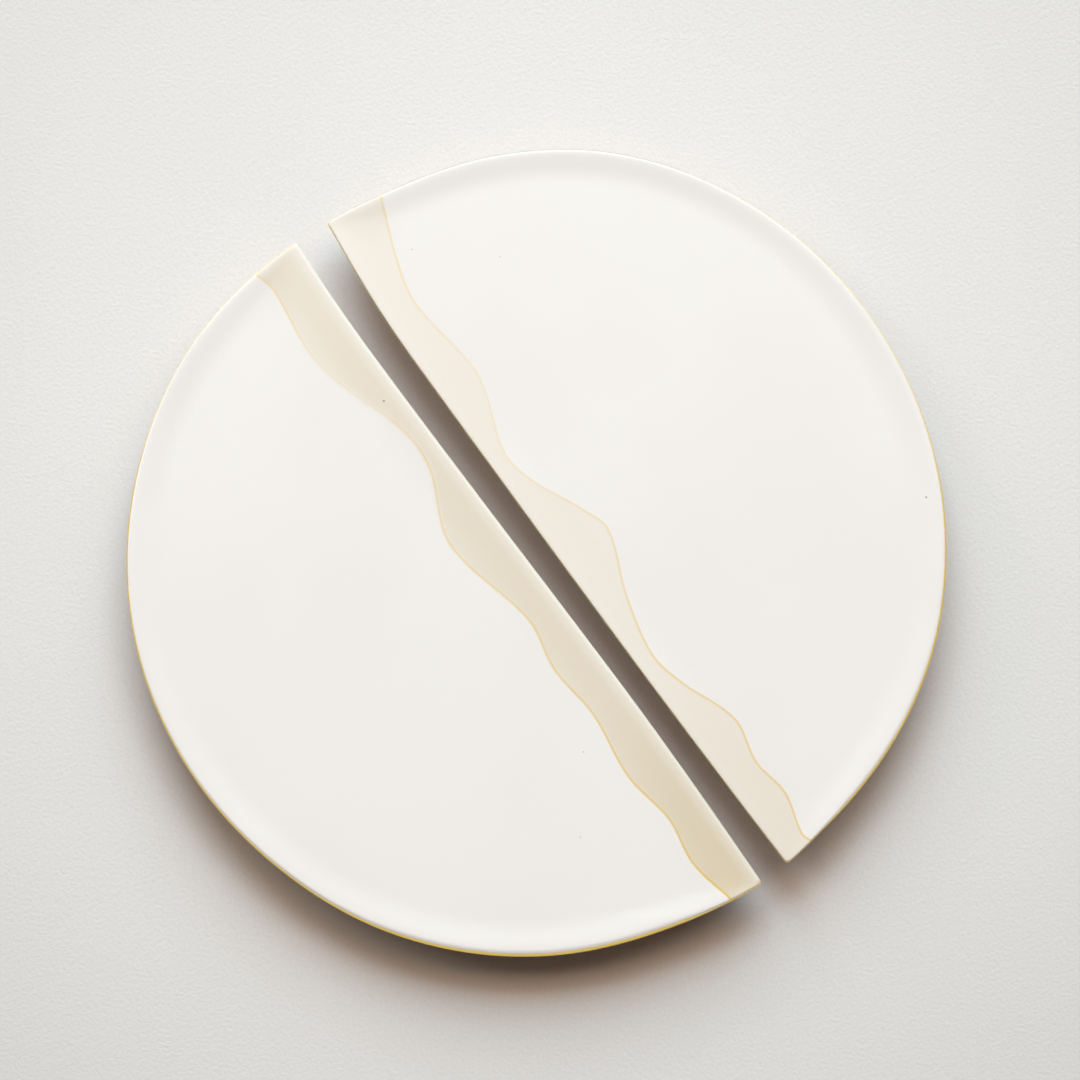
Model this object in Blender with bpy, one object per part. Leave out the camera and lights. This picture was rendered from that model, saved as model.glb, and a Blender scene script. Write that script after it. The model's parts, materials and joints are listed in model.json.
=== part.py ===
"""A round serving plate made as two finished halves that lie side by side.

Each half is one fired ceramic piece: a flat dish with a softly raised rim along
its arc and along its parting edge, and an undercut, unglazed underside with a
low foot ring. A wavy gold line runs from rim to rim and divides the white glaze
of the well from a cream glaze along the parting edge, and the lip is gilded.

Metres, +Z up. The plate stands on z = 0 with the gap between the halves along Y,
and the origin is under the middle of the whole.
"""
import bpy
import bmesh
import math
from mathutils import Vector

MM = 0.001

# Section through the rim, from the outermost edge inwards
HEIGHT = 15.5 * MM             # floor to the crown of the rim
LIP_DROP = 1.3 * MM            # crown above the widest, gilded edge of the lip
GILDED_SHARE = 0.8             # how much of that drop is gilded
UNDER_ROUND = 1.0 * MM         # rounding under the lip
WALL_REACH = 12.5 * MM         # crown to where the well is flat, along the arc
PARTING_REACH = 18.0 * MM      # the same along the parting edge
RIM_RISE = 0.4 * MM            # crown above the well
WALL_EASE = 2                  # a higher number steepens the wall beside the crown
EDGE_BAND = 2.0 * MM           # upright band between the two roundings
THICKNESS = 6.6 * MM           # clay under the well

# Foot ring, which follows the outline
FOOT_INSET = 24.0 * MM         # its outer wall, inwards from the edge
FOOT_WIDTH = 5.0 * MM
FOOT_HEIGHT = 4.4 * MM         # its outer wall, up to the sloping underside
FOOT_DRAFT = 1.8 * MM          # slope of its two walls
FOOT_ROUND = 0.8 * MM

# Corners where the arc meets the parting edge
LIP_CORNER = 1.6 * MM
WELL_CORNER = 16.0 * MM
FOOT_CORNER = 10.0 * MM
CORNER_BLEND = math.radians(12)   # over this much arc the lip takes on its own width

# Wavy line of gold, and the ribbon that scores it
LINE_WIDTH = 0.8 * MM
LINE_OVERRUN = 3.0 * MM        # how far the ribbon runs out past the rim
LINE_MARGIN = 0.8 * MM         # how far it reaches below the lip and above the crown

# Facets
ARC_STEPS = 60
EDGE_STEPS = 30
CORNER_STEPS = 4
ROUND_STEPS = 3
LIP_STEPS = 5
WALL_STEPS = 6
STEP_GROWTH = 1.4              # the steps down the wall widen towards the well
LINE_STEPS = 72
SHARP_ANGLE = math.radians(50)

# Search for the angle at which the arc meets a corner
CORNER_SEARCH = math.radians(60)
SEARCH_STEPS = 40

# The halves, in millimetres. The arc is a circle that wanders by the given
# amounts at the given angles, the lip is as wide as given at others, and the
# parting edge and the wavy line are smooth curves through (along the gap,
# across it) points. The gold is worn off the arc outside the gilded angles.
LEFT = {
    "name": "left_half",
    "side": -1,
    "centre": (-4.7, 2.4),
    "radius": 150.5,
    "wander": ((90, -2.2), (104, -1.0), (113, -0.1), (130, 0.2), (155, 0.7), (172, 0.1),
               (195, -0.65), (212, 0.0), (236, 0.0), (253, -0.6), (262, 0.2), (270, 1.7)),
    "parting": ((152, -4.2), (127, -5.4), (100, -5.8), (40, -5.0), (-40, -3.4),
                (-75, -3.0), (-115, -3.4), (-152, -4.3)),
    "lip": ((90, 1.2), (115, 1.1), (150, 1.5), (200, 1.9), (220, 2.6), (248, 2.8), (270, 2.2)),
    "parting_lip": 1.3,
    "gilded": (115, 270),
    "parting_gilded": False,
    "line": ((149, -23.6), (141, -21.8), (115, -24.7), (100, -23.0), (75, -14.8),
             (62, -12.6), (50, -14.1), (24, -24.3), (-17, -17.1), (-38, -20.3),
             (-60, -18.4), (-87, -21.5), (-109, -18.5), (-128, -21.0), (-148, -17.2)),
}
RIGHT = {
    "name": "right_half",
    "side": 1,
    "centre": (7.2, 0.75),
    "radius": 149.0,
    "wander": ((-90, 1.0), (-81, -0.4), (-52, 0.5), (-37, -0.1), (-6, -1.0), (15, -0.6),
               (44, 1.1), (60, 0.2), (79, -1.4), (90, 0.1)),
    "parting": ((152, 9.6), (140, 8.3), (126, 6.9), (108, 5.6), (85, 5.1), (-50, 5.5),
                (-116, 6.5), (-152, 7.4)),
    "lip": ((-90, 2.0), (-45, 1.9), (-10, 1.5), (20, 1.1), (90, 1.1)),
    "parting_lip": 1.2,
    "gilded": (-90, 15),
    "parting_gilded": True,
    "line": ((145, 31.6), (122, 22.4), (105, 18.6), (73, 22.0), (61, 19.8), (40, 12.7),
             (26, 14.6), (5, 23.8), (-7, 27.2), (-31, 18.2), (-55, 12.9), (-70, 15.7),
             (-93, 23.8), (-111, 20.8), (-127, 22.8), (-144, 19.4)),
}

WHITE, CREAM, GOLD, CLAY, CUTTER = range(5)


def clear_scene():
    for old in list(bpy.data.objects):
        bpy.data.objects.remove(old, do_unlink=True)


def material(name, colour, roughness, metallic=0.0):
    mat = bpy.data.materials.new(name)
    mat.use_nodes = True
    shader = mat.node_tree.nodes["Principled BSDF"]
    shader.inputs["Base Color"].default_value = (*colour, 1.0)
    shader.inputs["Roughness"].default_value = roughness
    shader.inputs["Metallic"].default_value = metallic
    mat.diffuse_color = (*colour, 1.0)
    return mat


def smooth_curve(points, at):
    """Height at one place of the smooth curve that passes through the points."""
    points = sorted(points)
    last = len(points) - 2
    span = 0
    while span < last and at > points[span + 1][0]:
        span += 1
    (x0, y0), (x1, y1) = points[span], points[span + 1]

    def slope(i):
        before, after = points[max(i - 1, 0)], points[min(i + 1, last + 1)]
        return (after[1] - before[1]) / (after[0] - before[0])

    width = x1 - x0
    t = (at - x0) / width
    return ((1 + 2 * t) * (1 - t) ** 2 * y0 + t * (1 - t) ** 2 * width * slope(span)
            + t * t * (3 - 2 * t) * y1 + t * t * (t - 1) * width * slope(span + 1))


def arc_point(half, angle, inset):
    radius = half["radius"] + smooth_curve(half["wander"], math.degrees(angle))
    centre = Vector(half["centre"]) * MM
    return centre + Vector((math.cos(angle), math.sin(angle))) * (radius * MM - inset)


def edge_point(half, along, inset):
    """Point at a distance inside the parting edge, and the way to its inside."""
    step = 1.0
    across = smooth_curve(half["parting"], along / MM)
    lean = smooth_curve(half["parting"], along / MM + step) - across
    inwards = Vector((step, -lean)).normalized() * half["side"]
    return Vector((across * MM, along)) + inwards * inset, inwards


def corner(half, top, depth, parting_depth):
    """Angle on the arc whose point at one depth lies at the other behind the parting edge."""
    upright = math.pi / 2 if top else -math.pi / 2
    if half["side"] < 0 and not top:
        upright += 2 * math.pi
    low, high = upright, upright - CORNER_SEARCH * half["side"] * (1 if top else -1)
    for _ in range(SEARCH_STEPS):
        angle = (low + high) / 2
        spot = arc_point(half, angle, depth)
        edge, inwards = edge_point(half, spot.y, 0.0)
        if (spot - edge).dot(inwards) < parting_depth:
            low = angle
        else:
            high = angle
    return angle


def fan(centre, radius, start, end):
    """Points on a small arc between two directions, without its two ends."""
    turn = start.angle_signed(end)
    for i in range(1, CORNER_STEPS):
        angle = math.atan2(start.y, start.x) - turn * i / CORNER_STEPS
        yield centre + Vector((math.cos(angle), math.sin(angle))) * radius


def outline(half, lip_share, inset, parting_inset, rounding):
    """Plan outline at a distance inside the edge of the lip, with rounded corners.

    lip_share is how much of the lip's width the outline lies inside it as well.
    """
    lip_edge = half["parting_lip"] * MM
    parting_inset += lip_share * lip_edge
    depth = inset + lip_share * lip_edge + rounding
    first, final = (False, True) if half["side"] > 0 else (True, False)
    start, end = (corner(half, top, depth, parting_inset + rounding) for top in (first, final))

    def lip_width(angle):
        share = min(1.0, min(abs(angle - start), abs(angle - end)) / CORNER_BLEND) ** 2
        wide = smooth_curve(half["lip"], math.degrees(angle)) * MM
        return lip_edge + (wide - lip_edge) * share

    angles = [start + (end - start) * i / ARC_STEPS for i in range(ARC_STEPS + 1)]
    points = [arc_point(half, a, inset + lip_share * lip_width(a)) for a in angles]

    def corner_fan(angle, leaving_arc):
        hub = arc_point(half, angle, depth)
        outwards = (arc_point(half, angle, 0.0) - hub).normalized()
        to_edge = -edge_point(half, hub.y, 0.0)[1]
        ends = (outwards, to_edge) if leaving_arc else (to_edge, outwards)
        return list(fan(hub, rounding, *ends))

    hub_end, hub_start = (arc_point(half, angle, depth).y for angle in (end, start))
    points += corner_fan(end, True)
    points += [edge_point(half, hub_end + (hub_start - hub_end) * i / EDGE_STEPS,
                          parting_inset)[0] for i in range(EDGE_STEPS + 1)]
    points += corner_fan(start, False)
    return points


def quarter(steps):
    return [math.radians(90) * i / steps for i in range(steps + 1)]


def section():
    """Rings of the half, from the recess underneath to the well.

    Each is the share of the lip's width, two insets, the height, the corner
    rounding and the glaze of the face after it. The first inset is along the arc
    and the second along the parting edge.
    """
    recess = HEIGHT - RIM_RISE - THICKNESS
    lip_low = HEIGHT - LIP_DROP
    under_lip = lip_low - EDGE_BAND - UNDER_ROUND
    foot_in = FOOT_INSET + FOOT_WIDTH
    underneath = [
        (foot_in + FOOT_DRAFT + FOOT_ROUND, recess),
        (foot_in + FOOT_DRAFT, recess - FOOT_ROUND),
        (foot_in, FOOT_ROUND),
        (foot_in - FOOT_ROUND, 0.0),
        (FOOT_INSET + FOOT_ROUND, 0.0),
        (FOOT_INSET, FOOT_ROUND),
        (FOOT_INSET - FOOT_DRAFT, FOOT_HEIGHT),
    ]
    rings = [(0.0, inset, inset, height, FOOT_CORNER, CLAY) for inset, height in underneath]
    for turn in quarter(ROUND_STEPS):
        inset = UNDER_ROUND * (1 - math.sin(turn))
        rings.append((0.0, inset, inset, under_lip + UNDER_ROUND * (1 - math.cos(turn)),
                      LIP_CORNER, CLAY))
    for turn in quarter(LIP_STEPS):
        height = lip_low + LIP_DROP * math.sin(turn)
        glaze = GOLD if height < HEIGHT - LIP_DROP * (1 - GILDED_SHARE) else WHITE
        rings.append((1 - math.cos(turn), 0.0, 0.0, height, LIP_CORNER, glaze))
    for i in range(1, WALL_STEPS + 1):
        share = (i / WALL_STEPS) ** STEP_GROWTH
        drop = 1 - (1 - share) ** (WALL_EASE + 1) * (1 + (WALL_EASE + 1) * share)
        rings.append((1.0, WALL_REACH * share, PARTING_REACH * share, HEIGHT - RIM_RISE * drop,
                      LIP_CORNER + (WELL_CORNER - LIP_CORNER) * share, WHITE))
    return rings


def loft(half):
    """Closed body through the rings, with a flat bottom and a flat well."""
    bm = bmesh.new()
    rings = []
    for lip_share, inset, parting_inset, height, rounding, glaze in section():
        plan = outline(half, lip_share, inset, parting_inset, rounding)
        rings.append(([bm.verts.new((p.x, p.y, height)) for p in plan], glaze))
    for (low, glaze), (high, _) in zip(rings, rings[1:]):
        for i in range(len(low)):
            after = (i + 1) % len(low)
            face = bm.faces.new((low[i], low[after], high[after], high[i]))
            face.material_index = glaze
    bm.faces.new(reversed(rings[0][0]))
    bm.faces.new(rings[-1][0])
    bmesh.ops.recalc_face_normals(bm, faces=bm.faces)
    mesh = bpy.data.meshes.new(half["name"])
    bm.to_mesh(mesh)
    bm.free()
    return mesh


def line_place(half, along):
    return smooth_curve(half["line"], along / MM) * MM


def line_cutter(half):
    """Upright ribbon as wide as the gold line, which scores the glaze."""
    ends = [point[0] * MM for point in half["line"]]
    low, high = min(ends) - LINE_OVERRUN, max(ends) + LINE_OVERRUN
    bottom = HEIGHT - LIP_DROP - LINE_MARGIN
    bm = bmesh.new()
    sides = []
    for way in (-1, 1):
        side = []
        for i in range(LINE_STEPS + 1):
            along = low + (high - low) * i / LINE_STEPS
            here, ahead = line_place(half, along), line_place(half, along + MM)
            across = Vector((MM, here - ahead, 0.0)).normalized() * LINE_WIDTH / 2 * way
            side.append(bm.verts.new(Vector((here, along, bottom)) + across))
        sides.append(side)
    base = bm.faces.new(sides[0] + sides[1][::-1])
    grown = bmesh.ops.extrude_face_region(bm, geom=[base])
    top = [item for item in grown["geom"] if isinstance(item, bmesh.types.BMVert)]
    bmesh.ops.translate(bm, verts=top, vec=(0.0, 0.0, LIP_DROP + 2 * LINE_MARGIN))
    bmesh.ops.recalc_face_normals(bm, faces=bm.faces)
    for face in bm.faces:
        face.material_index = CUTTER
    mesh = bpy.data.meshes.new(half["name"] + "_line_cutter")
    bm.to_mesh(mesh)
    bm.free()
    return mesh


def score_line(half, body):
    """Cut the wavy line into the faces of the body, then colour both sides of it."""
    ribbon = bpy.data.objects.new("line_cutter", line_cutter(half))
    bpy.context.scene.collection.objects.link(ribbon)
    for item in bpy.context.selected_objects:
        item.select_set(False)
    body.select_set(True)
    ribbon.select_set(True)
    bpy.context.view_layer.objects.active = body
    bpy.ops.object.join()
    bpy.ops.object.mode_set(mode="EDIT")
    bm = bmesh.from_edit_mesh(body.data)
    bm.select_mode = {"FACE"}
    for face in bm.faces:
        face.select_set(face.material_index == CUTTER)
    bm.select_flush_mode()
    bmesh.update_edit_mesh(body.data)
    bpy.ops.mesh.intersect(mode="SELECT_UNSELECT", separate_mode="CUT", solver="EXACT")
    bpy.ops.object.mode_set(mode="OBJECT")


def keeps_gold(half, spot):
    behind_edge = (spot.x - smooth_curve(half["parting"], spot.y / MM) * MM) * half["side"]
    if behind_edge < LIP_CORNER:
        return half["parting_gilded"]
    out = spot.xy - Vector(half["centre"]) * MM
    angle = math.degrees(math.atan2(out.y, out.x))
    if half["side"] < 0:
        angle %= 360
    return half["gilded"][0] < angle < half["gilded"][1]


def colour_faces(half, mesh):
    """Glaze the top on both sides of the gold line, and the lip where its gold is gone."""
    bm = bmesh.new()
    bm.from_mesh(mesh)
    leftover = [face for face in bm.faces if face.material_index == CUTTER]
    bmesh.ops.delete(bm, geom=leftover, context="FACES")
    for face in bm.faces:
        spot = face.calc_center_median()
        gilded = face.material_index == GOLD and keeps_gold(half, spot)
        if face.material_index == CLAY or gilded:
            continue
        beyond = (line_place(half, spot.y) - spot.x) * half["side"]
        if abs(beyond) < LINE_WIDTH / 2:
            face.material_index = GOLD
        else:
            face.material_index = CREAM if beyond > 0 else WHITE
    bm.to_mesh(mesh)
    bm.free()


def make_half(half, collection, glazes):
    body = bpy.data.objects.new(half["name"], loft(half))
    collection.objects.link(body)
    for glaze in glazes:
        body.data.materials.append(glaze)
    score_line(half, body)
    colour_faces(half, body.data)
    body.data.shade_smooth()
    body.data.set_sharp_from_angle(angle=SHARP_ANGLE)
    return body


def centre_on_origin(bodies):
    """Move both halves together, so that the origin is under the middle of the whole."""
    spots = [vertex.co for body in bodies for vertex in body.data.vertices]
    middle = Vector((0.0, 0.0, 0.0))
    for axis in (0, 1):
        values = [spot[axis] for spot in spots]
        middle[axis] = (min(values) + max(values)) / 2
    for body in bodies:
        body.location = -middle


def main():
    clear_scene()
    collection = bpy.data.collections.new("plate_in_two_halves")
    bpy.context.scene.collection.children.link(collection)
    glazes = [
        material("white_glaze", (0.865, 0.855, 0.825), 0.5),
        material("cream_glaze", (0.84, 0.79, 0.695), 0.5),
        material("gold_lustre", (0.80, 0.57, 0.22), 0.32, 1.0),
        material("bare_clay", (0.43, 0.33, 0.235), 0.85),
    ]
    centre_on_origin([make_half(half, collection, glazes) for half in (LEFT, RIGHT)])


main()
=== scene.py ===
# %% [markdown]
# A round serving plate made as two finished halves, lying side by side on a pale
# table and seen from straight above. Each half is one piece of fired clay with a
# satin white glaze, a cream glaze along its parting edge, a thin wavy line of gold
# lustre between the two, and a gilded lip. The packed model already has the two
# solids with flat facets, so this lesson models each half again with a fine smooth
# surface, lays it exactly where the solid is, and gives it its glazes.

# %% Load the packed model as the fixed frame
import json
import math

import bmesh
import bpy
import numpy as np
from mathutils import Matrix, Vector

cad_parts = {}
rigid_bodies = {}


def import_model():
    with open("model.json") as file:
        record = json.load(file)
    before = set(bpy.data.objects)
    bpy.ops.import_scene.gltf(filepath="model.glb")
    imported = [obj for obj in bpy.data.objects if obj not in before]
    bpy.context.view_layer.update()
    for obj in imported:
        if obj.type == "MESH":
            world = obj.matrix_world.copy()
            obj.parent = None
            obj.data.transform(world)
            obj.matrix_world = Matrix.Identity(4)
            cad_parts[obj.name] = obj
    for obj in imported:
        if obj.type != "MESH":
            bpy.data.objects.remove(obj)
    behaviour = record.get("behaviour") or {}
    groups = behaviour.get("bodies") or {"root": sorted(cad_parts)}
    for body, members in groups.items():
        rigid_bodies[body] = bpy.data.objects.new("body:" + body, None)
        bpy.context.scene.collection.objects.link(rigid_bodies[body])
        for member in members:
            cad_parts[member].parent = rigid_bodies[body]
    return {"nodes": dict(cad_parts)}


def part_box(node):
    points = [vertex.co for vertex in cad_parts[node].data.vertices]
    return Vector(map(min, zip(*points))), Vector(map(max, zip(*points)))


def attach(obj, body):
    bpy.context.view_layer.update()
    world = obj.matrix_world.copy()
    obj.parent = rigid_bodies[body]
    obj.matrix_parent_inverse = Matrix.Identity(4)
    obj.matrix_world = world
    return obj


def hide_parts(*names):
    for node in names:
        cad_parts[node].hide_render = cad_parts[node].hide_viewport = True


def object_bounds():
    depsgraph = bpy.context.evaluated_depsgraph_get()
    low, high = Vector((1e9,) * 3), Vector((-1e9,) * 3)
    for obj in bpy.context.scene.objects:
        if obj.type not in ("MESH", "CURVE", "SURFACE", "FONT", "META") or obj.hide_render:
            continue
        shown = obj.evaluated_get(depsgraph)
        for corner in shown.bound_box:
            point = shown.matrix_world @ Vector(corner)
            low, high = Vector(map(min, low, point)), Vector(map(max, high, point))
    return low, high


for old in list(bpy.data.objects):
    bpy.data.objects.remove(old, do_unlink=True)
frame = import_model()
cad_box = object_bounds()
MM = 0.001
print("solids in the frame:", sorted(frame["nodes"]))

# %% [markdown]
# First the sizes. A potter would describe the plate by its section: how high the
# rim's crown stands above the well, how far the wall reaches, how thick the clay
# is and where the foot ring sits. The same few numbers drive every ring below, in
# metres, and they are the sizes of the solid, so that the fine surface fits it.

# %% Sizes of the section
HEIGHT = 15.5 * MM
LIP_DROP = 1.3 * MM
UNDER_ROUND = 1.0 * MM
WALL_REACH = 12.5 * MM
PARTING_REACH = 18.0 * MM
RIM_RISE = 0.4 * MM
# How gently the wall runs out into the well
WALL_EASE = 2
EDGE_BAND = 2.0 * MM
THICKNESS = 6.6 * MM
FOOT_INSET = 24.0 * MM
FOOT_WIDTH = 5.0 * MM
FOOT_HEIGHT = 4.4 * MM
FOOT_DRAFT = 1.8 * MM
FOOT_ROUND = 0.8 * MM
LIP_CORNER = 1.6 * MM
WELL_CORNER = 16.0 * MM
FOOT_CORNER = 10.0 * MM
# One lip width for every place, for distances along the section
LIP_REACH = 2.4 * MM
LINE_WIDTH = 0.8 * MM

WELL = HEIGHT - RIM_RISE
RECESS = WELL - THICKNESS
LIP_LOW = HEIGHT - LIP_DROP
print(f"well {WELL / MM:.1f} mm above the table, crown {HEIGHT / MM:.1f} mm")

# %% [markdown]
# The plan of each half was cut by hand, so neither the arc nor the parting edge is
# a perfect circle or line. The arc is a circle that wanders a little at some
# angles. The parting edge and the wavy gold line are smooth curves through a few
# points, each written as how far along the gap and how far across it, in
# millimetres. The plan is that of the solids, apart from two places on the right
# half: its lip along the parting edge is 0.8 mm wide here and 1.2 mm on the solid,
# and the last points of its gold line, at the lower end, lie a little differently.

# %% Plan of the two halves
LEFT = {
    "name": "left_half",
    "side": -1,
    "centre": (-4.7, 2.4),
    "radius": 150.5,
    "wander": ((90, -2.2), (104, -1.0), (113, -0.1), (130, 0.2), (155, 0.7), (172, 0.1),
               (195, -0.65), (212, 0.0), (236, 0.0), (253, -0.6), (262, 0.2), (270, 1.7)),
    "parting": ((152, -4.2), (127, -5.4), (100, -5.8), (40, -5.0), (-40, -3.4),
                (-75, -3.0), (-115, -3.4), (-152, -4.3)),
    "lip": ((90, 1.2), (115, 1.1), (150, 1.5), (200, 1.9), (220, 2.6), (248, 2.8), (270, 2.2)),
    "parting_lip": 1.3,
    "span": (90, 270),
    "gilding": ((90, 0.2), (104, 0.3), (116, 0.4), (126, 0.7), (136, 1.0), (270, 1.0)),
    "parting_gilding": 0.0,
    "line": ((149, -23.6), (141, -21.8), (115, -24.7), (100, -23.0), (75, -14.8),
             (62, -12.6), (50, -14.1), (24, -24.3), (-17, -17.1), (-38, -20.3),
             (-60, -18.4), (-87, -21.5), (-109, -18.5), (-128, -21.0), (-148, -17.2)),
}
RIGHT = {
    "name": "right_half",
    "side": 1,
    "centre": (7.2, 0.75),
    "radius": 149.0,
    "wander": ((-90, 1.0), (-81, -0.4), (-52, 0.5), (-37, -0.1), (-6, -1.0), (15, -0.6),
               (44, 1.1), (60, 0.2), (79, -1.4), (90, 0.1)),
    "parting": ((152, 9.6), (140, 8.3), (126, 6.9), (108, 5.6), (85, 5.1), (-50, 5.5),
                (-116, 6.5), (-152, 7.4)),
    "lip": ((-90, 2.0), (-45, 1.9), (-10, 1.5), (20, 1.1), (90, 1.1)),
    "parting_lip": 0.8,
    "span": (-90, 90),
    "gilding": ((-90, 1.0), (-40, 1.0), (-24, 0.8), (-12, 0.5), (14, 0.3), (40, 0.0), (75, 0.0),
                (90, 0.1)),
    "parting_gilding": 0.9,
    "line": ((145, 31.6), (122, 22.4), (105, 18.6), (73, 22.0), (61, 19.8), (40, 12.7),
             (26, 14.6), (5, 23.8), (-7, 27.2), (-31, 18.2), (-55, 12.9), (-70, 15.7),
             (-93, 23.8), (-111, 20.8), (-127, 22.8), (-143, 18.9), (-148, 20.4)),
}


def smooth_curve(points, at):
    """Heights at many places of the smooth curve that passes through the points."""
    known = np.array(sorted(points), float)
    x, y = known.T
    slopes = np.empty(len(x))
    slopes[1:-1] = (y[2:] - y[:-2]) / (x[2:] - x[:-2])
    slopes[0] = (y[1] - y[0]) / (x[1] - x[0])
    slopes[-1] = (y[-1] - y[-2]) / (x[-1] - x[-2])
    at = np.atleast_1d(np.asarray(at, float))
    span = np.clip(np.searchsorted(x, at) - 1, 0, len(x) - 2)
    width = x[span + 1] - x[span]
    t = (at - x[span]) / width
    return ((1 + 2 * t) * (1 - t) ** 2 * y[span] + t * (1 - t) ** 2 * width * slopes[span]
            + t * t * (3 - 2 * t) * y[span + 1] + t * t * (t - 1) * width * slopes[span + 1])


for half in (LEFT, RIGHT):
    gap = smooth_curve(half["parting"], (140, 0, -140))
    print(half["name"], "parting edge at the two ends and the middle:", gap.round(1), "mm")

# %% [markdown]
# Every ring of the surface runs round a half at one depth inside its edge. Scaling
# a ring, or the inset tool, would keep its corners as sharp as the outline's, but
# on the thrown clay the corner of the well is far rounder than the corner of the
# lip. So each ring is worked out afresh: along the arc, round a corner of its own
# radius, along the parting edge, and round the other corner.

# %% Rings of the plan
ARC_STEPS = 420
EDGE_STEPS = 270
CORNER_STEPS = 16
CORNER_SEARCH = math.radians(60)
CORNER_BLEND = math.radians(12)
SEARCH_STEPS = 40
STATIONS = ARC_STEPS + EDGE_STEPS + 2 * CORNER_STEPS


def arc_points(half, angles, inset):
    """Points on the arc at a distance inside its edge."""
    angles = np.atleast_1d(angles)
    radius = (half["radius"] + smooth_curve(half["wander"], np.degrees(angles))) * MM - inset
    centre = np.array(half["centre"]) * MM
    return centre + np.stack([np.cos(angles), np.sin(angles)], 1) * radius[:, None]


def edge_points(half, along, inset):
    """Points at a distance inside the parting edge, and the ways to its inside."""
    along = np.atleast_1d(along)
    across = smooth_curve(half["parting"], along / MM)
    lean = smooth_curve(half["parting"], along / MM + 1.0) - across
    inwards = np.stack([np.ones_like(lean), -lean], 1) * half["side"]
    inwards /= np.linalg.norm(inwards, axis=1)[:, None]
    return np.stack([across * MM, along], 1) + inwards * inset, inwards


def corner_angle(half, top, depth, parting_depth):
    """Angle on the arc whose point at one depth lies at the other behind the parting edge."""
    upright = math.pi / 2 if top else -math.pi / 2
    if half["side"] < 0 and not top:
        upright += 2 * math.pi
    low, high = upright, upright - CORNER_SEARCH * half["side"] * (1 if top else -1)
    for _ in range(SEARCH_STEPS):
        angle = (low + high) / 2
        spot = arc_points(half, angle, depth)[0]
        edge, inwards = edge_points(half, spot[1], 0.0)
        if (spot - edge[0]) @ inwards[0] < parting_depth:
            low = angle
        else:
            high = angle
    return angle


def corner_fan(half, angle, depth, rounding, leaving_arc):
    """Points round a corner, without the two that the arc and the edge already have."""
    hub = arc_points(half, angle, depth)[0]
    outwards = arc_points(half, angle, 0.0)[0] - hub
    to_edge = -edge_points(half, hub[1], 0.0)[1][0]
    start, end = (outwards, to_edge) if leaving_arc else (to_edge, outwards)
    first = math.atan2(start[1], start[0])
    turn = math.remainder(math.atan2(end[1], end[0]) - first, math.tau)
    angles = first + turn * np.arange(1, CORNER_STEPS) / CORNER_STEPS
    return hub + np.stack([np.cos(angles), np.sin(angles)], 1) * rounding


def ring_points(half, lip_share, inset, parting_inset, rounding):
    """Plan of one ring: arc, corner, parting edge, corner. The lip is wider at some angles."""
    lip_edge = half["parting_lip"] * MM
    parting_inset += lip_share * lip_edge
    parting_depth = parting_inset + rounding
    depth = inset + lip_share * lip_edge + rounding
    first, final = (False, True) if half["side"] > 0 else (True, False)
    start, end = (corner_angle(half, top, depth, parting_depth) for top in (first, final))
    angles = np.linspace(start, end, ARC_STEPS + 1)
    from_corner = np.minimum(abs(angles - start), abs(angles - end))
    settled = np.clip(from_corner / CORNER_BLEND, 0, 1) ** 2
    lip = smooth_curve(half["lip"], np.degrees(angles)) * MM
    arc = arc_points(half, angles, inset + lip_share * (lip_edge + (lip - lip_edge) * settled))
    hub_end, hub_start = (arc_points(half, angle, depth)[0][1] for angle in (end, start))
    edge = edge_points(half, np.linspace(hub_end, hub_start, EDGE_STEPS + 1), parting_inset)[0]
    return np.concatenate([arc, corner_fan(half, end, depth, rounding, True),
                           edge, corner_fan(half, start, depth, rounding, False)])


print(f"{STATIONS} stations round each half, about",
      round(2 * math.pi * LEFT["radius"] / 2 / ARC_STEPS, 2), "mm apart on the arc")

# %% [markdown]
# Now the section, as a walk from the middle of the underside, over the foot ring,
# out along the sloping underside, round the lip, over the crown and down the soft
# wall into the well. Each step is the depth inside the edge, the height, and how
# round the corners are there. Close steps go where the surface turns fast.

# %% Walk along the section
ROUND_STEPS = 8
LIP_STEPS = 14
WALL_STEPS = 26
FOOT_STEPS = 4
# Depths in millimetres of the rings inside the foot, and of those past the wall
RECESS_RINGS = (58, 48, 40, 34)
WELL_RINGS = (2, 5, 9, 14, 20, 27, 35)
# Places of the rings on the sloping underside, from the foot to the lip
SLOPE_SHARES = (0.0, 0.04, 0.12, 0.3, 0.5, 0.7, 0.85, 0.94)


def quarter(steps):
    """Angles of a quarter turn in equal steps."""
    return [math.radians(90) * i / steps for i in range(steps + 1)]


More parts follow.
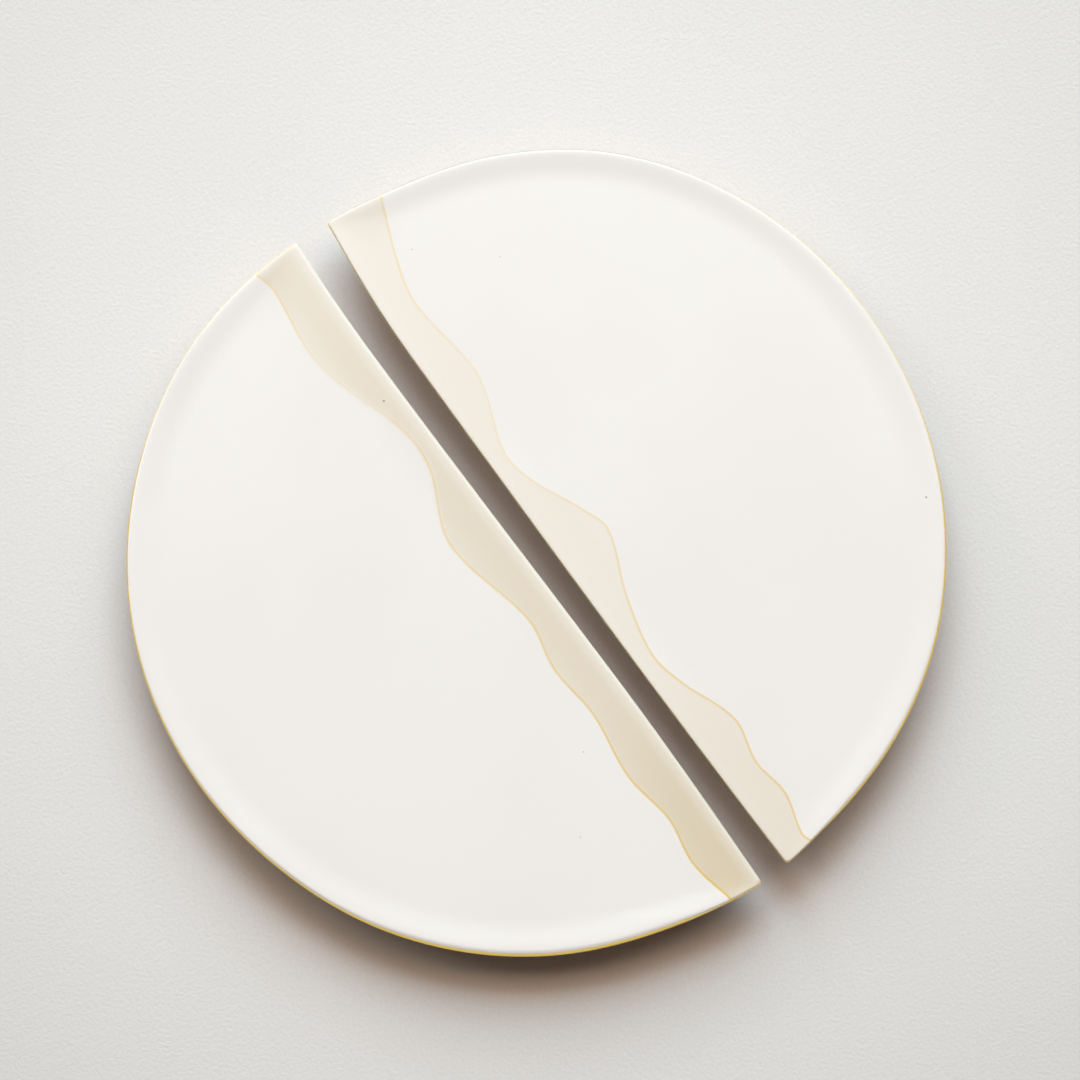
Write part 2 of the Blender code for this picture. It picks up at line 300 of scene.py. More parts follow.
def section():
    """Steps: share of the lip's width, depth at the arc and at the parting edge, height, corner."""
    foot_in = FOOT_INSET + FOOT_WIDTH
    foot_top = foot_in + FOOT_DRAFT
    under_lip = LIP_LOW - EDGE_BAND - UNDER_ROUND
    low = [(depth * MM, RECESS) for depth in RECESS_RINGS]
    low += [(foot_top + FOOT_ROUND * (1 - math.sin(a)), RECESS - FOOT_ROUND * (1 - math.cos(a)))
            for a in quarter(FOOT_STEPS)]
    low += [(foot_in - FOOT_ROUND * (1 - math.cos(a)), FOOT_ROUND * (1 - math.sin(a)))
            for a in quarter(FOOT_STEPS)]
    low += [(FOOT_INSET + FOOT_ROUND * (1 - math.sin(a)), FOOT_ROUND * (1 - math.cos(a)))
            for a in quarter(FOOT_STEPS)]
    steps = [(0.0, depth, depth, height, FOOT_CORNER) for depth, height in low]
    for share in SLOPE_SHARES:
        depth = FOOT_INSET - FOOT_DRAFT + (UNDER_ROUND - FOOT_INSET + FOOT_DRAFT) * share
        steps.append((0.0, depth, depth, FOOT_HEIGHT + (under_lip - FOOT_HEIGHT) * share,
                      FOOT_CORNER + (LIP_CORNER - FOOT_CORNER) * share))
    for a in quarter(ROUND_STEPS):
        depth = UNDER_ROUND * (1 - math.sin(a))
        steps.append((0.0, depth, depth, under_lip + UNDER_ROUND * (1 - math.cos(a)), LIP_CORNER))
    steps += [(1 - math.cos(a), 0.0, 0.0, LIP_LOW + LIP_DROP * math.sin(a), LIP_CORNER)
              for a in quarter(LIP_STEPS)]
    for i in range(1, WALL_STEPS + 1):
        share = i / WALL_STEPS
        drop = 1 - (1 - share) ** (WALL_EASE + 1) * (1 + (WALL_EASE + 1) * share)
        steps.append((1.0, WALL_REACH * share, PARTING_REACH * share, HEIGHT - RIM_RISE * drop,
                      LIP_CORNER + (WELL_CORNER - LIP_CORNER) * share))
    for depth in WELL_RINGS:
        steps.append((1.0, WALL_REACH + depth * MM, PARTING_REACH + depth * MM, WELL, WELL_CORNER))
    return steps


WALK = section()
print(len(WALK), "rings from the middle of the underside to the middle of the well")

# %% [markdown]
# The surface is pulled up ring by ring, the way a coil pot grows. A circle with one
# corner for each station is added, and every vertex keeps its station's number in
# an attribute. Extruding the selected loop copies that number to the new vertices,
# so each new ring can be laid on the plan without guessing which vertex is which.
# Fill then closes the middle of the underside and of the well.

# %% Pull each half up ring by ring
def deselect_everything():
    bpy.ops.object.select_all(action="DESELECT")


def lay_newest(mesh, points, height):
    """Move the newest ring's vertices, each to its station in the plan."""
    bm = bmesh.from_edit_mesh(mesh)
    bm.verts.ensure_lookup_table()
    number = bm.verts.layers.int["station"]
    for vertex in bm.verts[-STATIONS:]:
        vertex.co = (*points[vertex[number]], height)
    bmesh.update_edit_mesh(mesh)


def pull_up(half):
    """Model one half in edit mode, from the middle of its underside to the middle of its well."""
    deselect_everything()
    bpy.ops.mesh.primitive_circle_add(vertices=STATIONS, radius=half["radius"] * MM)
    piece = bpy.context.object
    piece.name = piece.data.name = half["name"] + "_glazed"
    station = piece.data.attributes.new("station", "INT", "POINT")
    station.data.foreach_set("value", np.arange(STATIONS, dtype=np.int32))
    bpy.ops.object.mode_set(mode="EDIT")
    bpy.ops.mesh.select_all(action="SELECT")
    for i, (lip_share, inset, parting_inset, height, rounding) in enumerate(WALK):
        if i:
            bpy.ops.mesh.extrude_region_move()
        lay_newest(piece.data, ring_points(half, lip_share, inset, parting_inset, rounding), height)
    bpy.ops.mesh.edge_face_add()
    bpy.ops.mesh.select_all(action="DESELECT")
    bpy.ops.mesh.select_non_manifold(extend=False)
    bpy.ops.mesh.edge_face_add()
    bpy.ops.mesh.select_all(action="SELECT")
    bpy.ops.mesh.normals_make_consistent(inside=False)
    bpy.ops.object.mode_set(mode="OBJECT")
    return piece


halves = {half["name"]: pull_up(half) for half in (LEFT, RIGHT)}
for name, piece in halves.items():
    print(name, len(piece.data.polygons), "faces")

# %% [markdown]
# The glazes follow the surface, so each vertex is told where it is in the maker's
# terms. "line" is the distance from the wavy gold line, positive on the side of the
# parting edge. "from_lip" is the way along the section from the widest point of the
# lip, positive towards the well. "gilding" is how much of the gold on the lip is
# left there, and "on_arc" tells the round edge from the parting edge. Attributes
# like these stay exact however fine or coarse the mesh is, and they need no
# unwrapping.

# %% Tell each vertex where it is
LINE_ENDS = 156
LINE_SAMPLES = 1600
CHUNK = 4000


def line_distances(half, spots):
    """Distance in millimetres from the wavy line, positive on the parting side."""
    along = np.linspace(-LINE_ENDS, LINE_ENDS, LINE_SAMPLES)
    path = np.stack([smooth_curve(half["line"], along), along], 1)
    nearest = np.concatenate([
        np.sqrt(((spots[i:i + CHUNK, None] - path) ** 2).sum(2).min(1))
        for i in range(0, len(spots), CHUNK)])
    beyond = (smooth_curve(half["line"], spots[:, 1]) - spots[:, 0]) * half["side"]
    return nearest * np.sign(beyond)


def lip_distances():
    """Way along the section from the widest point of the lip to each ring, in millimetres."""
    flat = np.array([(share * LIP_REACH + inset, height)
                     for share, inset, _, height, _ in WALK]) / MM
    way = np.concatenate([[0.0], np.cumsum(np.linalg.norm(np.diff(flat, axis=0), axis=1))])
    widest = [height for *_, height, _ in WALK].index(LIP_LOW)
    return way - way[widest]


def gilding_left(half):
    """Share of the gold that is left on the lip at each station."""
    arc = smooth_curve(half["gilding"], np.linspace(*half["span"], ARC_STEPS + 1))
    edge = half["parting_gilding"]
    step = np.arange(1, CORNER_STEPS) / CORNER_STEPS
    return np.concatenate([arc, arc[-1] + (edge - arc[-1]) * step,
                           np.full(EDGE_STEPS + 1, edge), edge + (arc[0] - edge) * step]).clip(0, 1)


def arc_share():
    """1 at the stations on the arc, 0 on the parting edge, and a slope round the corners."""
    step = np.arange(1, CORNER_STEPS) / CORNER_STEPS
    return np.concatenate([np.ones(ARC_STEPS + 1), 1 - step, np.zeros(EDGE_STEPS + 1), step])


def write_attribute(piece, name, values):
    """Give each vertex of the piece one number under this name."""
    made = piece.data.attributes.new(name, "FLOAT", "POINT")
    made.data.foreach_set("value", np.asarray(values, np.float32))


def describe_surface(half, piece):
    """Write all that the glazes ask for, then drop the stations' numbers."""
    spots = np.array([v.co for v in piece.data.vertices])[:, :2] / MM
    ring = np.repeat(np.arange(len(WALK)), STATIONS)
    station = np.array([item.value for item in piece.data.attributes["station"].data])
    write_attribute(piece, "line", line_distances(half, spots))
    write_attribute(piece, "from_lip", lip_distances()[ring])
    write_attribute(piece, "gilding", gilding_left(half)[station])
    write_attribute(piece, "on_arc", arc_share()[station])
    piece.data.attributes.remove(piece.data.attributes["station"])


for half in (LEFT, RIGHT):
    describe_surface(half, halves[half["name"]])
    print(half["name"], "knows", sorted(a.name for a in halves[half["name"]].data.attributes
                                        if a.data_type == "FLOAT"))

# %% [markdown]
# The plan was drawn about its own centre, and the packed solids stand about the
# middle of the whole plate. Each fine half is moved to its solid, and made smaller
# by the few hundredths of a millimetre that a smooth arc bulges past the flat
# facets. Then the surface is shaded smooth, with a crease only at the foot.

# %% Lay each half where its solid is
SHARP_ANGLE = math.radians(50)


def settle(piece, node):
    """Lay a fine half in the box of its solid, and tell how much it was scaled for that."""
    deselect_everything()
    piece.select_set(True)
    bpy.context.view_layer.objects.active = piece
    low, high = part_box(node)
    spots = np.array([v.co for v in piece.data.vertices])
    own_low, own_high = Vector(spots.min(0)), Vector(spots.max(0))
    fit = [(high[i] - low[i]) / (own_high[i] - own_low[i]) for i in range(3)]
    bpy.ops.transform.resize(value=fit)
    piece.location = [low[i] - own_low[i] * fit[i] for i in range(3)]
    bpy.ops.object.transform_apply(location=True, rotation=True, scale=True)
    bpy.ops.object.shade_smooth_by_angle(angle=SHARP_ANGLE)
    return fit


for name, piece in halves.items():
    print(name, "scaled by", [round(f, 5) for f in settle(piece, name)])

# %% [markdown]
# A material is a small network of nodes, and most of it is arithmetic. This class
# wraps one socket so that the arithmetic can be written as it reads: a sum of two
# wires adds its Math node. Every other node comes from one method that takes the
# node's type, its settings and what goes into its sockets.

# %% A wire that can do sums
class Wire:
    """One socket of a material, used in sums as a number would be."""

    def __init__(self, tree, socket=None):
        self.tree, self.socket = tree, socket

    def node(self, kind, sockets=None, output=0, stops=None, **settings):
        """Add a node, then its settings, ramp stops and sockets, and give back one output."""
        made = self.tree.nodes.new("ShaderNode" + kind)
        for name, value in settings.items():
            setattr(made, name, value)
        if stops:
            ramp = made.color_ramp.elements
            for _ in range(len(stops) - len(ramp)):
                ramp.new(1.0)
            for element, (position, colour) in zip(ramp, stops):
                element.position, element.color = position, (*colour, 1.0)
        for name, value in (sockets or {}).items():
            if isinstance(value, Wire):
                self.tree.links.new(value.socket, made.inputs[name])
            else:
                made.inputs[name].default_value = value
        return Wire(self.tree, made.outputs[output])

    def twin(self, output):
        """Another output of the same node."""
        return Wire(self.tree, self.socket.node.outputs[output])

    def math(self, operation, *values):
        return self.node("Math", dict(enumerate(values)), operation=operation)

    def __add__(self, other):
        return self.math("ADD", self, other)

    def __sub__(self, other):
        return self.math("SUBTRACT", self, other)

    def __mul__(self, other):
        return self.math("MULTIPLY", self, other)

    def __truediv__(self, other):
        return self.math("DIVIDE", self, other)

    def __rsub__(self, other):
        return self.math("SUBTRACT", other, self)

    __radd__ = __add__
    __rmul__ = __mul__


def fade(value, start, end):
    """0 at start, 1 at end, with a soft step between."""
    return value.node("MapRange", {0: value, 1: start, 2: end}, interpolation_type="SMOOTHSTEP")


def mixed(share, first, second):
    """Colour that goes from first to second as the share goes from 0 to 1."""
    return share.node("Mix", {0: share, 6: first, 7: second}, output=2, data_type="RGBA")


def noise(place, scale, detail=2.0, roughness=0.5):
    """Smooth random cloud between 0 and 1, finer as the scale grows."""
    return place.node("TexNoise", {"Vector": place, "Scale": scale, "Detail": detail,
                                   "Roughness": roughness})


def attribute(paint, name):
    """A number that each vertex was told."""
    return paint.node("Attribute", output="Fac", attribute_name=name)


def multiplied_over(share, colour, stain):
    """Colour with a share of a see-through colour multiplied over it: a real stain such as the
    cream's pool, and painted shade on the wall and the lip.
    """
    return share.node("Mix", {0: share, 6: colour, 7: stain}, output=2, data_type="RGBA",
                      blend_type="MULTIPLY")


def rgba(*colour):
    return (*colour, 1.0)


def grey(value):
    """One number as a colour, for a mix that feeds a socket of numbers."""
    return rgba(value, value, value)


print("sums:", [name.strip("_") for name, value in vars(Wire).items()
                if name.startswith("__") and callable(value) and name != "__init__"])

# %% [markdown]
# The glazes themselves. White glaze over pale stoneware is not pure white: it is a
# warm eggshell that drifts by a percent or two where it ran thinner or thicker. On
# the lip it ran thin and the clay stains it, and the darker colour there is also
# painted shade that dims the lip's highlight. A darker colour on the wall below the
# crown is painted shade, where the wall faces away from the windows. The cream glaze
# is the same white with a little ochre, laid along the parting edge. It pools where
# the wall meets the well, and it is paler towards one end of the plate, so each half
# has two creams and a ramp that goes from one to the other.

# %% Colours of the finishes
WHITE = rgba(0.865, 0.855, 0.825)
WHITE_THIN = rgba(0.85, 0.835, 0.80)
# Thin glaze on the lip, made darker still as painted shade that dims its highlight
LIP_THIN_GLAZE_AND_SHADE = rgba(0.42, 0.405, 0.38)
# Painted shade on the wall below the crown, where the wall faces away from the windows
WALL_PAINTED_SHADE = rgba(0.95, 0.945, 0.935)
LEFT_CREAM = rgba(0.735, 0.655, 0.49), rgba(0.815, 0.768, 0.668)
RIGHT_CREAM = rgba(0.81, 0.76, 0.665), rgba(0.85, 0.817, 0.748)
CREAM_POOL = rgba(0.98, 0.965, 0.945)
CREAM_PALE = ((-148, 0.0), (-110, 0.2), (-60, 0.7), (60, 0.75), (120, 1.0))
GOLD = rgba(0.83, 0.60, 0.13)
GOLD_PAINT = rgba(0.80, 0.58, 0.17)
CLAY = rgba(0.36, 0.24, 0.195)
CLAY_LIGHT = rgba(0.42, 0.30, 0.245)
SPECK_BROWN = rgba(0.30, 0.13, 0.05)
SPECK_OLIVE = rgba(0.40, 0.37, 0.27)
print("white", WHITE[:3], "and gold", GOLD[:3])

# %% [markdown]
# The gold is a lustre painted by brush over the seam of the two glazes, so its
# strength changes along the way. A few hair-fine dots of it lie beside the line. A
# colour ramp over the length of the plate holds such changes: each stop is a place
# in millimetres and a strength.

# %% The painted line
PLATE_REACH = 150.0
LINE_SCALE = 90.0
LINE_THINNEST, LINE_SWING = 0.75, 0.5
LINE_SOFT = 0.16
DUST_SCALE = 900.0
DUST_PICKED = (0.72, 0.74)
DUST_SIZE = (0.22, 0.12)
DUST_FAR = (-9.0, -0.5)
DUST_NEAR = (1.5, 0.0)
DUST_STRENGTH = 0.6


def along_ramp(paint, along, stops):
    """Grey ramp over the length of the plate, from (place in millimetres, strength) stops."""
    share = along / (2 * PLATE_REACH) + 0.5
    return paint.node("ValToRGB", {0: share}, stops=[
        ((place + PLATE_REACH) / (2 * PLATE_REACH), (strength,) * 3) for place, strength in stops])


def painted_gold(paint, place, along, line, stops):
    """How much gold the brush left on the wavy line and in the dots beside it."""
    strength = along_ramp(paint, along, stops)
    brush_width = LINE_THINNEST + LINE_SWING * noise(place, LINE_SCALE)
    half_width = LINE_WIDTH / MM / 2 * brush_width
    offset = line.math("ABSOLUTE", line)
    painted = fade(offset, half_width + LINE_SOFT, half_width - LINE_SOFT) * strength
    dust = paint.node("TexVoronoi", {"Vector": place, "Scale": DUST_SCALE}, output="Distance")
    near = fade(line, *DUST_FAR) * fade(line, *DUST_NEAR)
    dots = fade(dust, *DUST_SIZE) * fade(dust.twin("Color"), *DUST_PICKED) * near * strength
    return painted.math("MAXIMUM", painted, dots * DUST_STRENGTH)


print("line", LINE_WIDTH / MM, "mm wide, soft over", LINE_SOFT, "mm on each side")

# %% [markdown]
# Under the gold lies the ground of white and cream. The seam of the two bleeds where
# the cream was wetter: noise moves it to and fro, and the step between the colours
# grows soft there. The pairs named for the pool, the crown, the wall and the edge say
# at which distances from the lip, in millimetres, a layer starts and is at its full
# strength.

# %% The ground of white and cream
DRIFT_THIN = (0.35, 0.7)
POOL_WALL = (3.0, 6.5)
POOL_WELL = (16.0, 9.0)
CROWN_PALE = (6.0, 2.0)
BLEED_SCALE = 160.0
BLEED_MOST = 4.0
BLEED_LEAST = 0.15
# Reach of the painted shade on the wall, of the thin glaze and painted shade on the lip, and the
# share of the latter on the parting edge
WALL_TOP = (2.5, 5.0)
WALL_FOOT = (17.0, 7.0)
EDGE_REACH = (3.0, 1.3)
PARTING_THIN_AND_SHADE = 0.32


def ground(paint, place, drift, along, line, from_lip, creams, crown, bleed_stops):
    """White and cream glaze with the seam between them."""
    white = mixed(fade(drift, *DRIFT_THIN), WHITE, WHITE_THIN)
    pooled = fade(from_lip, *POOL_WALL) * fade(from_lip, *POOL_WELL)
    cream = multiplied_over(pooled, mixed(along_ramp(paint, along, CREAM_PALE), *creams), CREAM_POOL)
    cream = mixed(fade(from_lip, *CROWN_PALE) * crown, cream, WHITE)
    bleed = along_ramp(paint, along, bleed_stops) * BLEED_MOST + BLEED_LEAST
    side = line + (noise(place, BLEED_SCALE) - 0.5) * bleed
    return mixed(fade(side / bleed, -1.0, 1.0), white, cream)


def thin_glaze_and_painted_shade(from_lip, on_arc, gold_left):
    """Painted shade on the wall, and thin glaze with painted shade on the lip, both left out where
    the lip is gilded.
    """
    wall = fade(from_lip, *WALL_TOP) * fade(from_lip, *WALL_FOOT) * on_arc * (1.0 - gold_left)
    edge = (fade(from_lip, *EDGE_REACH) * (1.0 - gold_left)
            * (PARTING_THIN_AND_SHADE + (1.0 - PARTING_THIN_AND_SHADE) * on_arc))
    return wall, edge


print("the seam is soft over", BLEED_LEAST, "to", BLEED_LEAST + BLEED_MOST, "mm")

# %% [markdown]
# Everything is a mask between 0 and 1, mixed in the order in which the potter put it
# on: the ground, the thin glaze on the lip, the painted line, the gilded lip with its
# wear, and last the specks of the clay that came through and the bare clay under the
# lip. Painted shade on the wall and on the lip goes in with the thin glaze. A satin
# glaze is half rough, the lustre is smoother, and thin glaze and bare clay are dry.

# %% Glazed clay
DRIFT_SCALE, DRIFT_DETAIL = 14.0, 3.0
GRAIN_SCALE = 900.0
GRAIN_LIGHT = (0.3, 0.7)
BRUSH_SCALE, BRUSH_DETAIL = 420.0, 3.0
BRUSH_WORN = (0.25, 0.45)
GILT_WORN = 0.85
GILT_EDGE = (2.1, 1.1)
BARE_EDGE = (-0.7, -1.1)
SPECK_EDGE = (1.3, 0.5)
SATIN, DRY, LUSTRE, BARE = grey(0.50), grey(0.80), grey(0.32), grey(0.85)
PAINT_METAL = 0.25
DRIFT_RELIEF, GRAIN_RELIEF, GOLD_RELIEF = 0.6, 0.02, 0.05
GLAZE_BUMP = {"Strength": 0.12, "Distance": 0.0006}


def glazed_clay(name, creams, crown, gold_stops, bleed_stops, specks):
    """Material of one half, from its creams, its ramps and its specks."""
    material = bpy.data.materials.new(name)
    material.use_nodes = True
    tree = material.node_tree
    paint = Wire(tree)

    place = paint.node("TexCoord", output="Object")
    where = paint.node("VectorMath", {0: place, "Scale": 1 / MM}, operation="SCALE")
    across = paint.node("SeparateXYZ", {0: where}, output="X")
    along = across.twin("Y")
    line, from_lip, gold_left, on_arc = (attribute(paint, each)
                                         for each in ("line", "from_lip", "gilding", "on_arc"))
    drift = noise(place, DRIFT_SCALE, DRIFT_DETAIL)
    grain = noise(place, GRAIN_SCALE)

    colour = ground(paint, place, drift, along, line, from_lip, creams, crown, bleed_stops)
    # Painted shade on the wall, and thin glaze with painted shade on the lip
    wall_painted_shade, lip_thin_and_shaded = thin_glaze_and_painted_shade(from_lip, on_arc, gold_left)
    colour = multiplied_over(lip_thin_and_shaded, multiplied_over(wall_painted_shade, colour, WALL_PAINTED_SHADE), LIP_THIN_GLAZE_AND_SHADE)
    brushed = painted_gold(paint, place, along, line, gold_stops)
    worn = fade(noise(place, BRUSH_SCALE, BRUSH_DETAIL), *BRUSH_WORN)
    gilt = fade(from_lip, *GILT_EDGE) * gold_left * (GILT_WORN + (1.0 - GILT_WORN) * worn)
    colour = mixed(gilt, mixed(brushed, colour, GOLD_PAINT), GOLD)
    gold = gilt.math("MAXIMUM", gilt, brushed)

    for x, y, radius, tint in specks:
        spot = paint.node("CombineXYZ", {0: across - x, 1: along - y})
        off = paint.node("VectorMath", {0: spot}, output="Value", operation="LENGTH")
        colour = mixed(fade(off, *(radius * share for share in SPECK_EDGE)), colour, tint)

    bare = fade(from_lip, *BARE_EDGE)
    colour = mixed(bare, colour, mixed(fade(grain, *GRAIN_LIGHT), CLAY, CLAY_LIGHT))
    roughness = mixed(bare, mixed(gold, mixed(lip_thin_and_shaded, SATIN, DRY), LUSTRE), BARE)
    relief = drift * DRIFT_RELIEF + grain * GRAIN_RELIEF + gold * GOLD_RELIEF
    bump = paint.node("Bump", {**GLAZE_BUMP, "Height": relief})
    shader = tree.nodes["Principled BSDF"]
    for socket, value in (("Base Color", colour), ("Roughness", roughness),
                          ("Metallic", gilt * (1.0 - bare) + brushed * PAINT_METAL),
                          ("Normal", bump)):
        tree.links.new(value.socket, shader.inputs[socket])
    return material


print("the gilded band reaches", GILT_EDGE[0], "mm up from the widest point of the lip")

# %% [markdown]
# Both halves wear the same kind of glaze, each with its own strengths. Along the left
# half the line grows faint and its seam bleeds past the middle, while the right
# half's seam is crisp. A few specks of iron from the clay came through the glaze,
# each written as its place across and along, its radius in millimetres, and its
# colour.

# %% Glaze each half
LEFT_GOLD = ((-148, 1.0), (-110, 0.85), (-60, 0.7), (20, 0.55), (60, 0.5), (84, 0.2), (112, 0.25),
             (125, 0.45), (142, 0.55))
LEFT_BLEED = ((-148, 0.02), (-60, 0.1), (20, 0.35), (60, 0.6), (100, 0.6), (125, 0.25), (142, 0.1))
RIGHT_GOLD = ((-144, 0.75), (-60, 0.65), (-10, 0.5), (31, 0.3), (60, 0.25), (77, 0.3), (110, 0.4),
              (145, 0.5))
RIGHT_BLEED = ((-144, 0.02), (0, 0.04), (145, 0.03))
LEFT_SPECKS = ((-12.9, 81.8, 0.38, SPECK_BROWN), (-29.9, -70.0, 0.25, SPECK_OLIVE),
               (-49.8, -95.4, 0.25, SPECK_OLIVE))
RIGHT_SPECKS = ((131.6, -68.3, 0.42, SPECK_OLIVE), (29.4, 121.9, 0.22, SPECK_OLIVE),
                (54.8, 100.1, 0.22, SPECK_OLIVE))
LEFT_CROWN, RIGHT_CROWN = 0.35, 0.0
glazes = {
    "left_half": glazed_clay("left_glazes", LEFT_CREAM, LEFT_CROWN, LEFT_GOLD, LEFT_BLEED,
                             LEFT_SPECKS),
    "right_half": glazed_clay("right_glazes", RIGHT_CREAM, RIGHT_CROWN, RIGHT_GOLD, RIGHT_BLEED,
                              RIGHT_SPECKS),
}
for name, piece in halves.items():
    piece.data.materials.append(glazes[name])
    print(name, "wears", glazes[name].name, "with", len(glazes[name].node_tree.nodes), "nodes")

# %% [markdown]
# Each fine half stands for its solid in the frame and rides on the one body that
# the plate has, because nothing on it moves.

# %% Put the halves in the frame
for name, piece in halves.items():
    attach(piece, "root")
    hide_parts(name)
    print(piece.name, "replaces", name, [round(v / MM, 2) for v in piece.dimensions], "mm")

# %% [markdown]
# The table is a sheet of heavy pale paper. It only has to catch the shadow, so it
# is one large plane with a fine tooth. Painted shade makes it a little darker away
# from the plate, where the windows' light falls off. Still farther out it turns into
# plain pale backdrop for the camera, which keeps the lamps at a plain level.
# Distances are in metres.

# %% Table
TABLE_SIZE = 12.0
PAPER = rgba(0.79, 0.79, 0.77)
PAPER_DARK = rgba(0.755, 0.755, 0.735)
# Painted shade: the paper's colour away from the plate, where the light falls off
PAPER_FALLOFF_SHADE = rgba(0.68, 0.68, 0.665)
BACKDROP = rgba(0.80, 0.79, 0.77)
PAPER_ROUGHNESS = 0.9
PAPER_SPECULAR = 0.2
TOOTH_SCALE, TOOTH_DETAIL, TOOTH_ROUGHNESS, TOOTH_SHARE = 700.0, 3.0, 0.6, 0.7
CLOUD_SCALE = 9.0
TONE_STEP = (0.3, 0.7)
# Where that painted shade starts and is full, in metres, and how strong it is
SHADE_AWAY = (0.16, 0.32)
SHADE_SHARE = 0.8
BACKDROP_AWAY = (0.6, 2.2)
PAPER_BUMP = {"Strength": 0.25, "Distance": 0.0005}


def table_paper():
    """Toothed pale paper, darker away from the plate by painted shade, that turns into backdrop
    farther out.
    """
    material = bpy.data.materials.new("table_paper")
    material.use_nodes = True
    tree = material.node_tree
    shader = tree.nodes["Principled BSDF"]
    shader.inputs["Roughness"].default_value = PAPER_ROUGHNESS
    shader.inputs["Specular IOR Level"].default_value = PAPER_SPECULAR
    paint = Wire(tree)
    place = paint.node("TexCoord", output="Object")
    tooth = noise(place, TOOTH_SCALE, TOOTH_DETAIL, TOOTH_ROUGHNESS)
    cloud = noise(place, CLOUD_SCALE)
    away = paint.node("VectorMath", {0: place}, output="Value", operation="LENGTH")
    pulp = tooth * TOOTH_SHARE + cloud * (1.0 - TOOTH_SHARE)
    tone = mixed(fade(pulp, *TONE_STEP), PAPER, PAPER_DARK)
    # Painted shade, darker away from the plate
    tone = mixed(fade(away, *SHADE_AWAY) * SHADE_SHARE, tone, PAPER_FALLOFF_SHADE)
    bump = paint.node("Bump", {**PAPER_BUMP, "Height": tooth})
    tree.links.new(tone.socket, shader.inputs["Base Color"])
    tree.links.new(bump.socket, shader.inputs["Normal"])
    seen = paint.node("LightPath", output="Is Camera Ray")
    glow = paint.node("Emission", {"Color": BACKDROP, "Strength": 1.0})
    blend = paint.node("MixShader", {0: fade(away, *BACKDROP_AWAY) * seen,
                                     1: Wire(tree, shader.outputs[0]), 2: glow})
    tree.links.new(blend.socket, tree.nodes["Material Output"].inputs["Surface"])
    return material


deselect_everything()
bpy.ops.mesh.primitive_plane_add(size=TABLE_SIZE)
table = bpy.context.object
table.name = "table"
table.data.materials.append(table_paper())
print("table", TABLE_SIZE, "m across")

# %% [markdown]
# The light comes from beyond the top of the picture. Shadows that are dark at the
# foot and reach far out, but have no edge, mean windows that are wide and tall. So
# four upright lamps stand round the far side of the table, each from its sill up to
# its head: a wide window, a narrower one on each side of it, and a low warm door. A
# wide lamp over them is the warm ceiling, which is what lights the shadows brown.
# The room adds a very weak warm fill from all round. A camera, metal or glass ray
# sees the room as plain pale backdrop.

# %% Light
PICTURE_TURN = math.radians(-36.02)
WINDOW_AWAY = 3.9
DAYLIGHT = (0.808, 1.0, 1.113)
ROOM_LIGHT = (1.08, 1.0, 0.92)
DOOR_LIGHT = (1.3, 1.0, 0.8)
CEILING_LIGHT = (1.0, 0.64, 0.46)
# Each window: its direction in the picture, half its width, its sill and its head in
# degrees as the plate sees them, its radiance and its colour
WINDOWS = {"window": (91, 26, 12, 46, 8.98, DAYLIGHT),
           "right_window": (49, 17, 10, 50, 2.2, ROOM_LIGHT),
           "left_window": (149, 12, 10, 50, 2.1, ROOM_LIGHT),
           "door": (131, 9, 0, 20, 6.0, DOOR_LIGHT)}
# The ceiling: its direction, how high it stands, half its width and half its height
# in degrees, and its radiance
CEILING = (88, 54, 32, 11, 1.97)
FILL = rgba(1.0, 0.66, 0.48)
FILL_STRENGTH = 0.09

centre = (cad_box[0] + cad_box[1]) / 2


def add_lamp(name, middle, aim, width, height, radiance, colour):
    """Rectangle lamp whose back points along aim and whose face is as bright as radiance."""
    bpy.ops.object.light_add(type="AREA", location=middle)
    lamp = bpy.context.object
    lamp.name = name
    lamp.rotation_euler = aim.to_track_quat("Z", "Y").to_euler()
    lamp.data.shape = "RECTANGLE"
    lamp.data.size, lamp.data.size_y = width, height
    lamp.data.color = colour
    lamp.data.energy = math.pi * width * height * radiance
    print(name, round(width, 2), "by", round(height, 2), "m,", round(lamp.data.energy), "W")


def way_to(direction, elevation):
    """Unit vector from the plate to a direction in the picture and an elevation, in degrees."""
    turn, up = PICTURE_TURN + math.radians(direction), math.radians(elevation)
    return Vector((math.cos(turn) * math.cos(up), math.sin(turn) * math.cos(up), math.sin(up)))


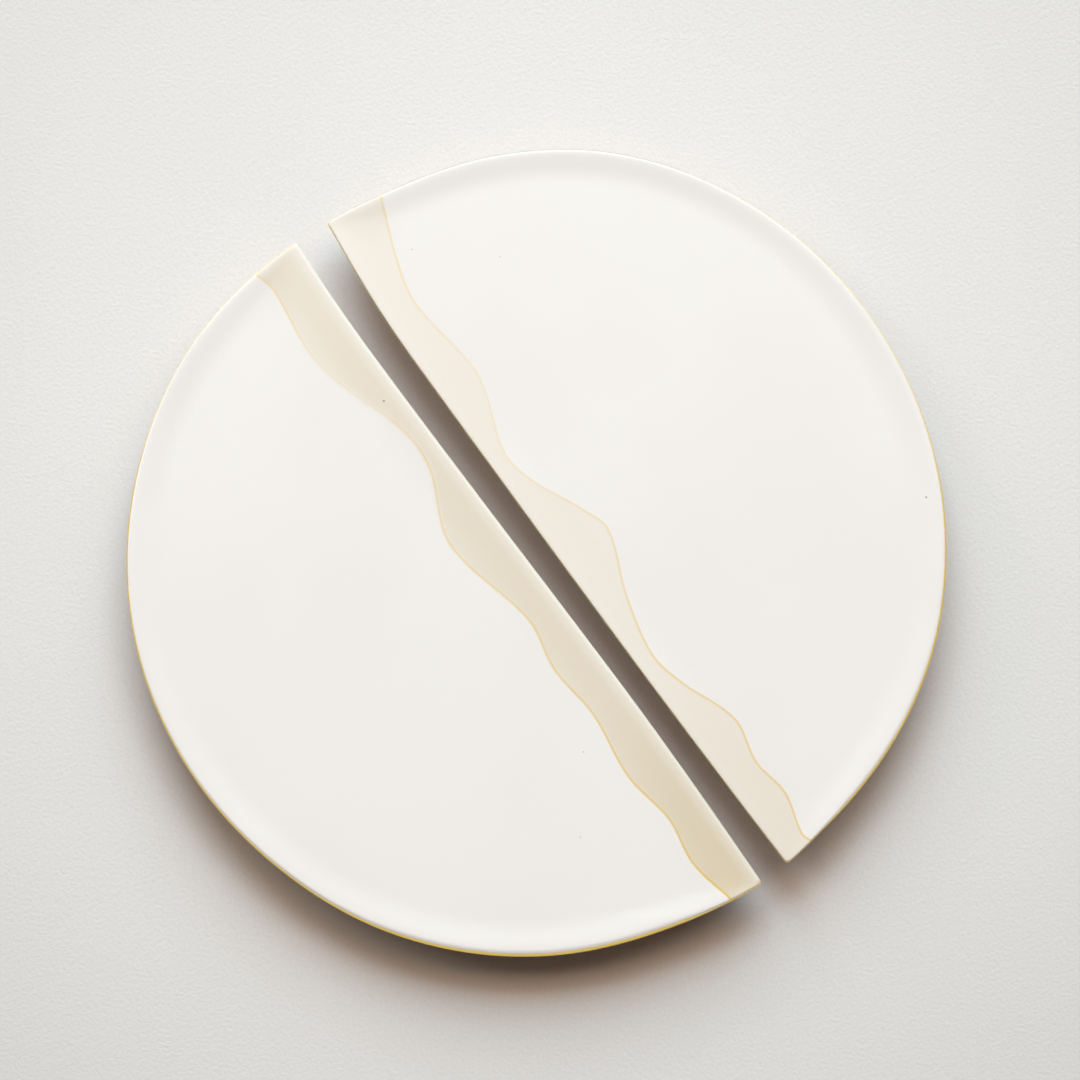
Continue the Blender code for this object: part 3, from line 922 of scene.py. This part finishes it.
def reach(degrees):
    """Metres on the face of a window that the plate sees under so many degrees."""
    return WINDOW_AWAY * math.tan(math.radians(degrees))


for name, (direction, half_wide, sill, head, radiance, colour) in WINDOWS.items():
    aim = way_to(direction, 0.0)
    middle = Vector((centre.x, centre.y, (reach(sill) + reach(head)) / 2)) + aim * WINDOW_AWAY
    add_lamp(name, middle, aim, 2 * reach(half_wide), reach(head) - reach(sill), radiance, colour)
direction, elevation, half_wide, half_high, radiance = CEILING
aim = way_to(direction, elevation)
add_lamp("ceiling", centre + aim * WINDOW_AWAY, aim, 2 * reach(half_wide), 2 * reach(half_high),
         radiance, CEILING_LIGHT)


def light_room():
    """Weak warm fill for the surfaces, and plain backdrop for what looks at the room itself."""
    world = bpy.data.worlds.new("room")
    bpy.context.scene.world = world
    world.use_nodes = True
    tree = world.node_tree
    paint = Wire(tree)
    path = paint.node("LightPath", output="Is Camera Ray")
    direct = path.math("MAXIMUM", path.math("MAXIMUM", path, path.twin("Is Glossy Ray")),
                       path.twin("Is Transmission Ray"))
    back = tree.nodes["Background"]
    tree.links.new(mixed(direct, FILL, BACKDROP).socket, back.inputs["Color"])
    tree.links.new((direct * (1.0 - FILL_STRENGTH) + FILL_STRENGTH).socket, back.inputs["Strength"])


light_room()
print("fill", FILL_STRENGTH)

# %% [markdown]
# The camera looks straight down, turned so that the gap runs from the upper left to
# the lower right of the picture. A long lens from over a metre away shows no side
# walls, as in the photograph.

# %% Camera
PICTURE_WIDTH = 0.40846
CAMERA_AWAY = 1.2
CAMERA_SPOT = (0.00396, 0.00452)
bpy.ops.object.camera_add(location=(*CAMERA_SPOT, HEIGHT + CAMERA_AWAY),
                          rotation=(0.0, 0.0, PICTURE_TURN))
camera = bpy.context.object
camera.data.lens = camera.data.sensor_width * CAMERA_AWAY / PICTURE_WIDTH
bpy.context.scene.camera = camera
bpy.context.scene.view_settings.view_transform = "Standard"
print("lens", round(camera.data.lens, 1), "mm")

# %% [markdown] The camera is the last piece of the scene.
